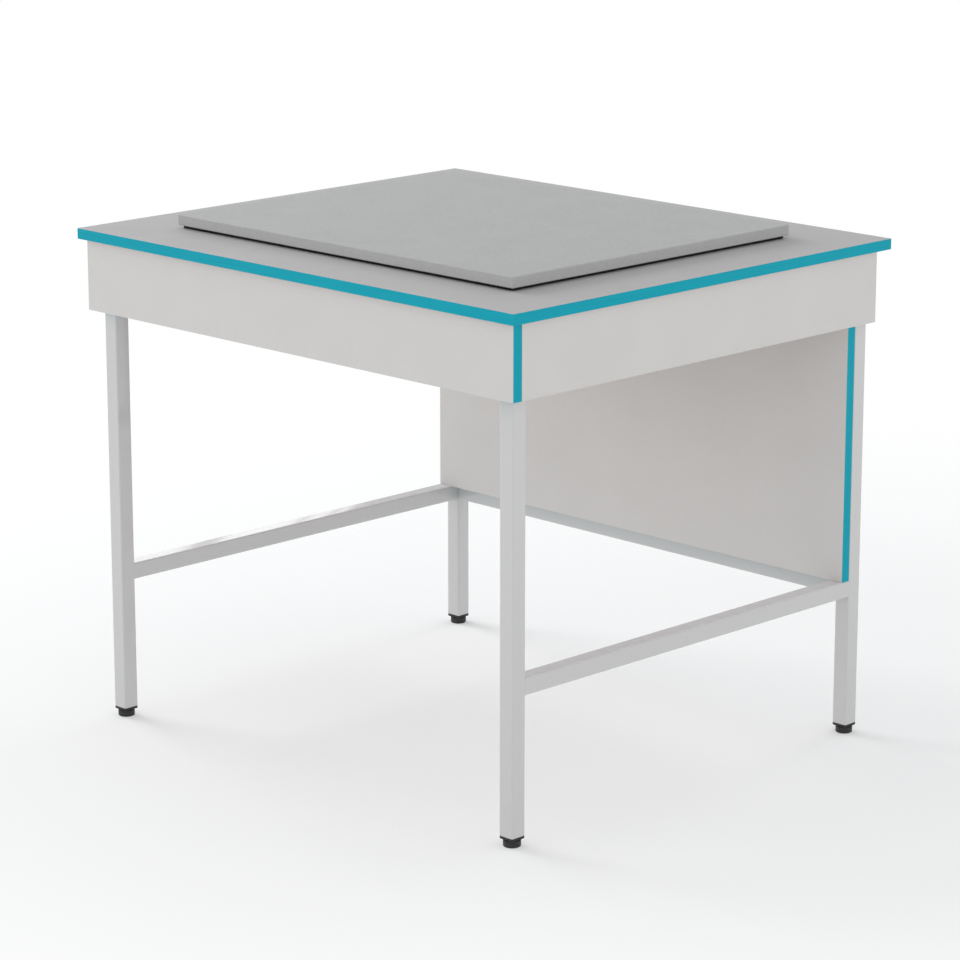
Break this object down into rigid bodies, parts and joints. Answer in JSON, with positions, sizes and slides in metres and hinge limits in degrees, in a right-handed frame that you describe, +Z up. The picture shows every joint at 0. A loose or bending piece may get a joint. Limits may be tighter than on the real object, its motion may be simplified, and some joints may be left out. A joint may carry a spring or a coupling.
{
  "type": "centrifuge table",
  "caption": "Laboratory centrifuge table: square-tube frame on screw feet, laminated top with aprons and a rear panel, and a loose stone slab on a rubber mat.",
  "frame": {"origin": "on the floor under the middle of the worktop", "axes": "+X to the right along the front edge, +Y from the front to the rear panel, +Z up"},
  "size_m": [0.9, 0.78, 0.7706],
  "materials": {
    "grey_laminate": "chipboard with a matt grey laminate",
    "white_melamine": "chipboard with a matt off-white melamine face",
    "teal_edging": "satin plastic edging strip",
    "white_edging": "satin plastic edging strip in the board's white",
    "painted_steel": "light grey powder coat, satin",
    "grey_stone": "honed grey stone, matt",
    "black_rubber": "matt black sheet rubber",
    "black_plastic": "moulded black plastic, lightly grained",
    "zinc_plated_steel": "bright zinc plating"
  },
  "bodies": {
    "table": {"worktop": "grey_laminate", "worktop_edging_front": "teal_edging", "worktop_edging_rear": "teal_edging", "worktop_edging_left": "teal_edging", "worktop_edging_right": "teal_edging", "apron_front": "white_melamine", "apron_front_edging_left": "teal_edging", "apron_front_edging_right": "teal_edging", "apron_left": "white_melamine", "apron_left_edging": "white_edging", "apron_right": "white_melamine", "apron_right_edging": "white_edging", "rear_panel": "white_melamine", "rear_panel_edging_left": "teal_edging", "rear_panel_edging_right": "teal_edging", "rubber_mat": "black_rubber", "leg_front_left": "painted_steel", "leg_front_right": "painted_steel", "leg_rear_left": "painted_steel", "leg_rear_right": "painted_steel", "lower_rail_left": "painted_steel", "lower_rail_right": "painted_steel", "lower_rail_rear": "painted_steel", "top_rail_front": "painted_steel", "top_rail_rear": "painted_steel", "top_rail_left": "painted_steel", "top_rail_right": "painted_steel", "crossbeam_left": "painted_steel", "crossbeam_right": "painted_steel", "foot_plug_front_left": "black_plastic", "foot_plug_front_right": "black_plastic", "foot_plug_rear_left": "black_plastic", "foot_plug_rear_right": "black_plastic", "foot_nut_front_left": "zinc_plated_steel", "foot_nut_front_right": "zinc_plated_steel", "foot_nut_rear_left": "zinc_plated_steel", "foot_nut_rear_right": "zinc_plated_steel", "worktop_screw_front_left": "zinc_plated_steel", "worktop_screw_front_right": "zinc_plated_steel", "worktop_screw_rear_left": "zinc_plated_steel", "worktop_screw_rear_right": "zinc_plated_steel", "apron_screw_front_left": "zinc_plated_steel", "apron_screw_front_right": "zinc_plated_steel", "apron_screw_left_front": "zinc_plated_steel", "apron_screw_left_rear": "zinc_plated_steel", "apron_screw_right_front": "zinc_plated_steel", "apron_screw_right_rear": "zinc_plated_steel", "panel_screw_left_lower": "zinc_plated_steel", "panel_screw_left_upper": "zinc_plated_steel", "panel_screw_right_lower": "zinc_plated_steel", "panel_screw_right_upper": "zinc_plated_steel"},
    "slab": {"stone_slab": "grey_stone"},
    "foot_front_left_stud": {"foot_stud_front_left": "zinc_plated_steel"},
    "foot_front_left_base": {"foot_base_front_left": "black_plastic"},
    "foot_front_right_stud": {"foot_stud_front_right": "zinc_plated_steel"},
    "foot_front_right_base": {"foot_base_front_right": "black_plastic"},
    "foot_rear_left_stud": {"foot_stud_rear_left": "zinc_plated_steel"},
    "foot_rear_left_base": {"foot_base_rear_left": "black_plastic"},
    "foot_rear_right_stud": {"foot_stud_rear_right": "zinc_plated_steel"},
    "foot_rear_right_base": {"foot_base_rear_right": "black_plastic"}
  },
  "joints": [
    {"name": "slab_lift", "type": "slide", "parent": "table", "child": "slab", "axis": [0, 0, 1], "range_m": [0, 0.06]},
    {"name": "foot_front_left_travel", "type": "slide", "parent": "table", "child": "foot_front_left_stud", "axis": [0, 0, -1], "range_m": [0, 0.012]},
    {"name": "foot_front_left_turn", "type": "hinge", "parent": "foot_front_left_stud", "child": "foot_front_left_base", "pos_m": [-0.4112, -0.3512, 0], "axis": [0, 0, -1], "range_deg": [0, 3456]},
    {"name": "foot_front_right_travel", "type": "slide", "parent": "table", "child": "foot_front_right_stud", "axis": [0, 0, -1], "range_m": [0, 0.012]},
    {"name": "foot_front_right_turn", "type": "hinge", "parent": "foot_front_right_stud", "child": "foot_front_right_base", "pos_m": [0.4112, -0.3512, 0], "axis": [0, 0, -1], "range_deg": [0, 3456]},
    {"name": "foot_rear_left_travel", "type": "slide", "parent": "table", "child": "foot_rear_left_stud", "axis": [0, 0, -1], "range_m": [0, 0.012]},
    {"name": "foot_rear_left_turn", "type": "hinge", "parent": "foot_rear_left_stud", "child": "foot_rear_left_base", "pos_m": [-0.4112, 0.3575, 0], "axis": [0, 0, -1], "range_deg": [0, 3456]},
    {"name": "foot_rear_right_travel", "type": "slide", "parent": "table", "child": "foot_rear_right_stud", "axis": [0, 0, -1], "range_m": [0, 0.012]},
    {"name": "foot_rear_right_turn", "type": "hinge", "parent": "foot_rear_right_stud", "child": "foot_rear_right_base", "pos_m": [0.4112, 0.3575, 0], "axis": [0, 0, -1], "range_deg": [0, 3456]}
  ],
  "couplings": [
    {"joint": "foot_front_left_turn", "follows": "foot_front_left_travel", "rad_per_m": 5026.5},
    {"joint": "foot_front_right_turn", "follows": "foot_front_right_travel", "rad_per_m": 5026.5},
    {"joint": "foot_rear_left_turn", "follows": "foot_rear_left_travel", "rad_per_m": 5026.5},
    {"joint": "foot_rear_right_turn", "follows": "foot_rear_right_travel", "rad_per_m": 5026.5}
  ]
}
